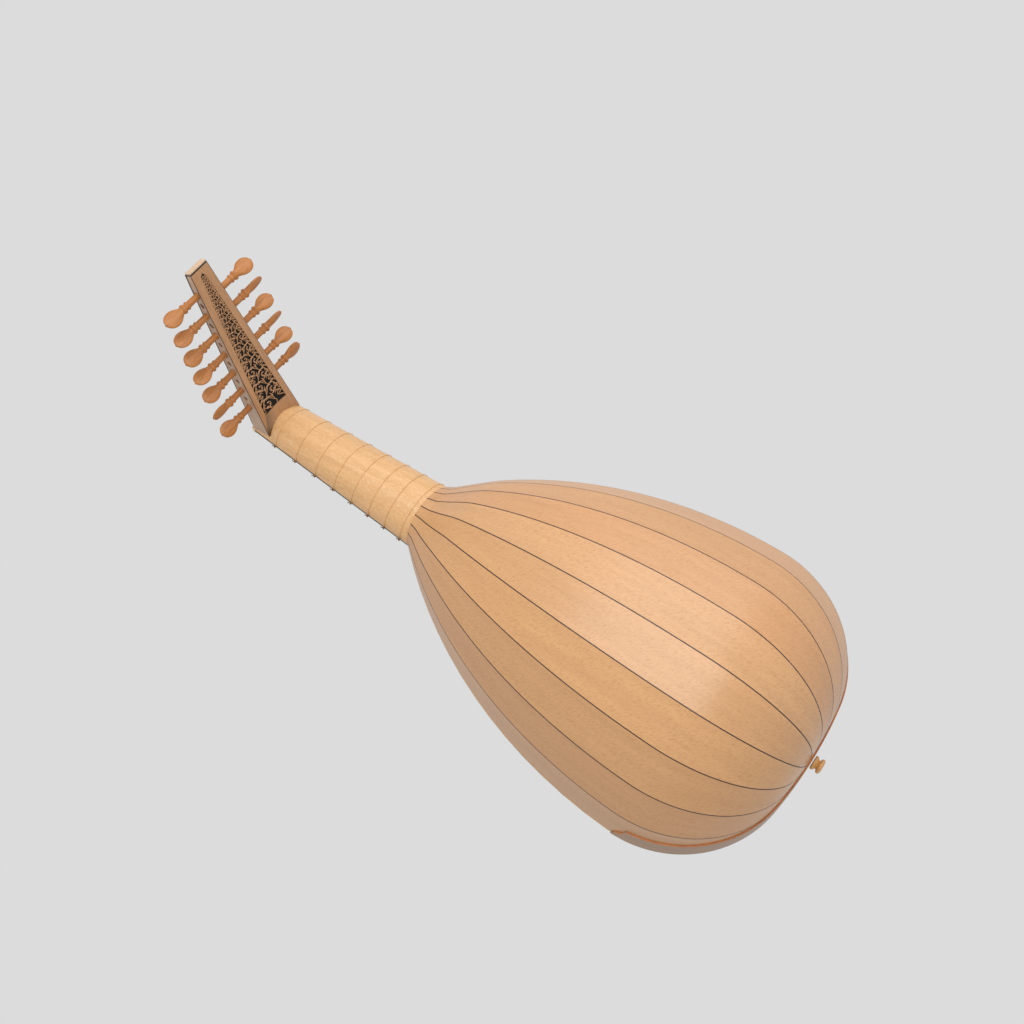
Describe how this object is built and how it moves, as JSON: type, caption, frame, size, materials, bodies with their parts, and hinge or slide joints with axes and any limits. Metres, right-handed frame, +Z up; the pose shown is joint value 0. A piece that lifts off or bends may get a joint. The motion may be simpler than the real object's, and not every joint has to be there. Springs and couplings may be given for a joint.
{
  "type": "lute",
  "caption": "European lute with a ribbed half-pear bowl, tied gut frets and a pierced pegbox bent back from the neck, lying on its strings.",
  "frame": {"origin": "under the middle of the lute's box, on the surface that the bridge rests on", "axes": "+X from the tail to the pegbox, +Y to the treble side (seven peg heads), +Z up to the back of the bowl; the strings face down"},
  "size_m": [0.7296, 0.3284, 0.2439],
  "materials": {
    "lacewood": "satin varnish",
    "spruce": "oiled",
    "maple": "satin varnish",
    "boxwood": "waxed",
    "pearwood": "waxed",
    "ebony": "polished",
    "bone": "polished bone",
    "gut": "natural gut"
  },
  "bodies": {
    "lute": {"bar_1": "spruce", "bar_2": "spruce", "bar_3": "spruce", "bridge": "pearwood", "end_clasp": "lacewood", "fingerboard": "ebony", "neck": "maple", "neck_block": "spruce", "nut": "bone", "pegbox_back": "maple", "pegbox_bass_cheek": "maple", "pegbox_end_cap": "maple", "pegbox_treble_cheek": "maple", "rib_01": "lacewood", "rib_02": "lacewood", "rib_03": "lacewood", "rib_04": "lacewood", "rib_05": "lacewood", "rib_06": "lacewood", "rib_07": "lacewood", "rib_08": "lacewood", "rib_09": "lacewood", "rib_10": "lacewood", "rib_11": "lacewood", "soundboard": "spruce", "strap_button": "boxwood", "string_1": "gut", "string_2a": "gut", "string_2b": "gut", "string_3a": "gut", "string_3b": "gut", "string_4a": "gut", "string_4b": "gut", "string_5a": "gut", "string_5b": "gut", "string_6a": "gut", "string_6b": "gut", "string_7a": "gut", "string_7b": "gut"},
    "peg_treble_1": {"peg_treble_1": "boxwood"},
    "peg_treble_2": {"peg_treble_2": "boxwood"},
    "peg_treble_3": {"peg_treble_3": "boxwood"},
    "peg_treble_4": {"peg_treble_4": "boxwood"},
    "peg_treble_5": {"peg_treble_5": "boxwood"},
    "peg_treble_6": {"peg_treble_6": "boxwood"},
    "peg_treble_7": {"peg_treble_7": "boxwood"},
    "peg_bass_1": {"peg_bass_1": "boxwood"},
    "peg_bass_2": {"peg_bass_2": "boxwood"},
    "peg_bass_3": {"peg_bass_3": "boxwood"},
    "peg_bass_4": {"peg_bass_4": "boxwood"},
    "peg_bass_5": {"peg_bass_5": "boxwood"},
    "peg_bass_6": {"peg_bass_6": "boxwood"},
    "fret_1": {"fret_1": "gut"},
    "fret_2": {"fret_2": "gut"},
    "fret_3": {"fret_3": "gut"},
    "fret_4": {"fret_4": "gut"},
    "fret_5": {"fret_5": "gut"},
    "fret_6": {"fret_6": "gut"},
    "fret_7": {"fret_7": "gut"},
    "fret_8": {"fret_8": "gut"}
  },
  "joints": [
    {"name": "peg_treble_1_turn", "type": "hinge", "parent": "lute", "child": "peg_treble_1", "pos_m": [0.32608, 0, 0.05453], "axis": [0, 1, 0], "continuous": true},
    {"name": "peg_treble_2_turn", "type": "hinge", "parent": "lute", "child": "peg_treble_2", "pos_m": [0.33097, 0, 0.08089], "axis": [0, 1, 0], "continuous": true},
    {"name": "peg_treble_3_turn", "type": "hinge", "parent": "lute", "child": "peg_treble_3", "pos_m": [0.33587, 0, 0.10726], "axis": [0, 1, 0], "continuous": true},
    {"name": "peg_treble_4_turn", "type": "hinge", "parent": "lute", "child": "peg_treble_4", "pos_m": [0.34076, 0, 0.13362], "axis": [0, 1, 0], "continuous": true},
    {"name": "peg_treble_5_turn", "type": "hinge", "parent": "lute", "child": "peg_treble_5", "pos_m": [0.34566, 0, 0.15998], "axis": [0, 1, 0], "continuous": true},
    {"name": "peg_treble_6_turn", "type": "hinge", "parent": "lute", "child": "peg_treble_6", "pos_m": [0.35055, 0, 0.18634], "axis": [0, 1, 0], "continuous": true},
    {"name": "peg_treble_7_turn", "type": "hinge", "parent": "lute", "child": "peg_treble_7", "pos_m": [0.35545, 0, 0.21271], "axis": [0, 1, 0], "continuous": true},
    {"name": "peg_bass_1_turn", "type": "hinge", "parent": "lute", "child": "peg_bass_1", "pos_m": [0.32853, 0, 0.06771], "axis": [0, 1, 0], "continuous": true},
    {"name": "peg_bass_2_turn", "type": "hinge", "parent": "lute", "child": "peg_bass_2", "pos_m": [0.33342, 0, 0.09407], "axis": [0, 1, 0], "continuous": true},
    {"name": "peg_bass_3_turn", "type": "hinge", "parent": "lute", "child": "peg_bass_3", "pos_m": [0.33832, 0, 0.12044], "axis": [0, 1, 0], "continuous": true},
    {"name": "peg_bass_4_turn", "type": "hinge", "parent": "lute", "child": "peg_bass_4", "pos_m": [0.34321, 0, 0.1468], "axis": [0, 1, 0], "continuous": true},
    {"name": "peg_bass_5_turn", "type": "hinge", "parent": "lute", "child": "peg_bass_5", "pos_m": [0.34811, 0, 0.17316], "axis": [0, 1, 0], "continuous": true},
    {"name": "peg_bass_6_turn", "type": "hinge", "parent": "lute", "child": "peg_bass_6", "pos_m": [0.353, 0, 0.19953], "axis": [0, 1, 0], "continuous": true},
    {"name": "fret_1_slide", "type": "slide", "parent": "lute", "child": "fret_1", "axis": [1, 0, 0], "range_m": [-0.003, 0.003]},
    {"name": "fret_2_slide", "type": "slide", "parent": "lute", "child": "fret_2", "axis": [1, 0, 0], "range_m": [-0.003, 0.003]},
    {"name": "fret_3_slide", "type": "slide", "parent": "lute", "child": "fret_3", "axis": [1, 0, 0], "range_m": [-0.003, 0.003]},
    {"name": "fret_4_slide", "type": "slide", "parent": "lute", "child": "fret_4", "axis": [1, 0, 0], "range_m": [-0.003, 0.003]},
    {"name": "fret_5_slide", "type": "slide", "parent": "lute", "child": "fret_5", "axis": [1, 0, 0], "range_m": [-0.003, 0.003]},
    {"name": "fret_6_slide", "type": "slide", "parent": "lute", "child": "fret_6", "axis": [1, 0, 0], "range_m": [-0.003, 0.003]},
    {"name": "fret_7_slide", "type": "slide", "parent": "lute", "child": "fret_7", "axis": [1, 0, 0], "range_m": [-0.003, 0.003]},
    {"name": "fret_8_slide", "type": "slide", "parent": "lute", "child": "fret_8", "axis": [1, 0, 0], "range_m": [-0.003, 0.003]}
  ]
}
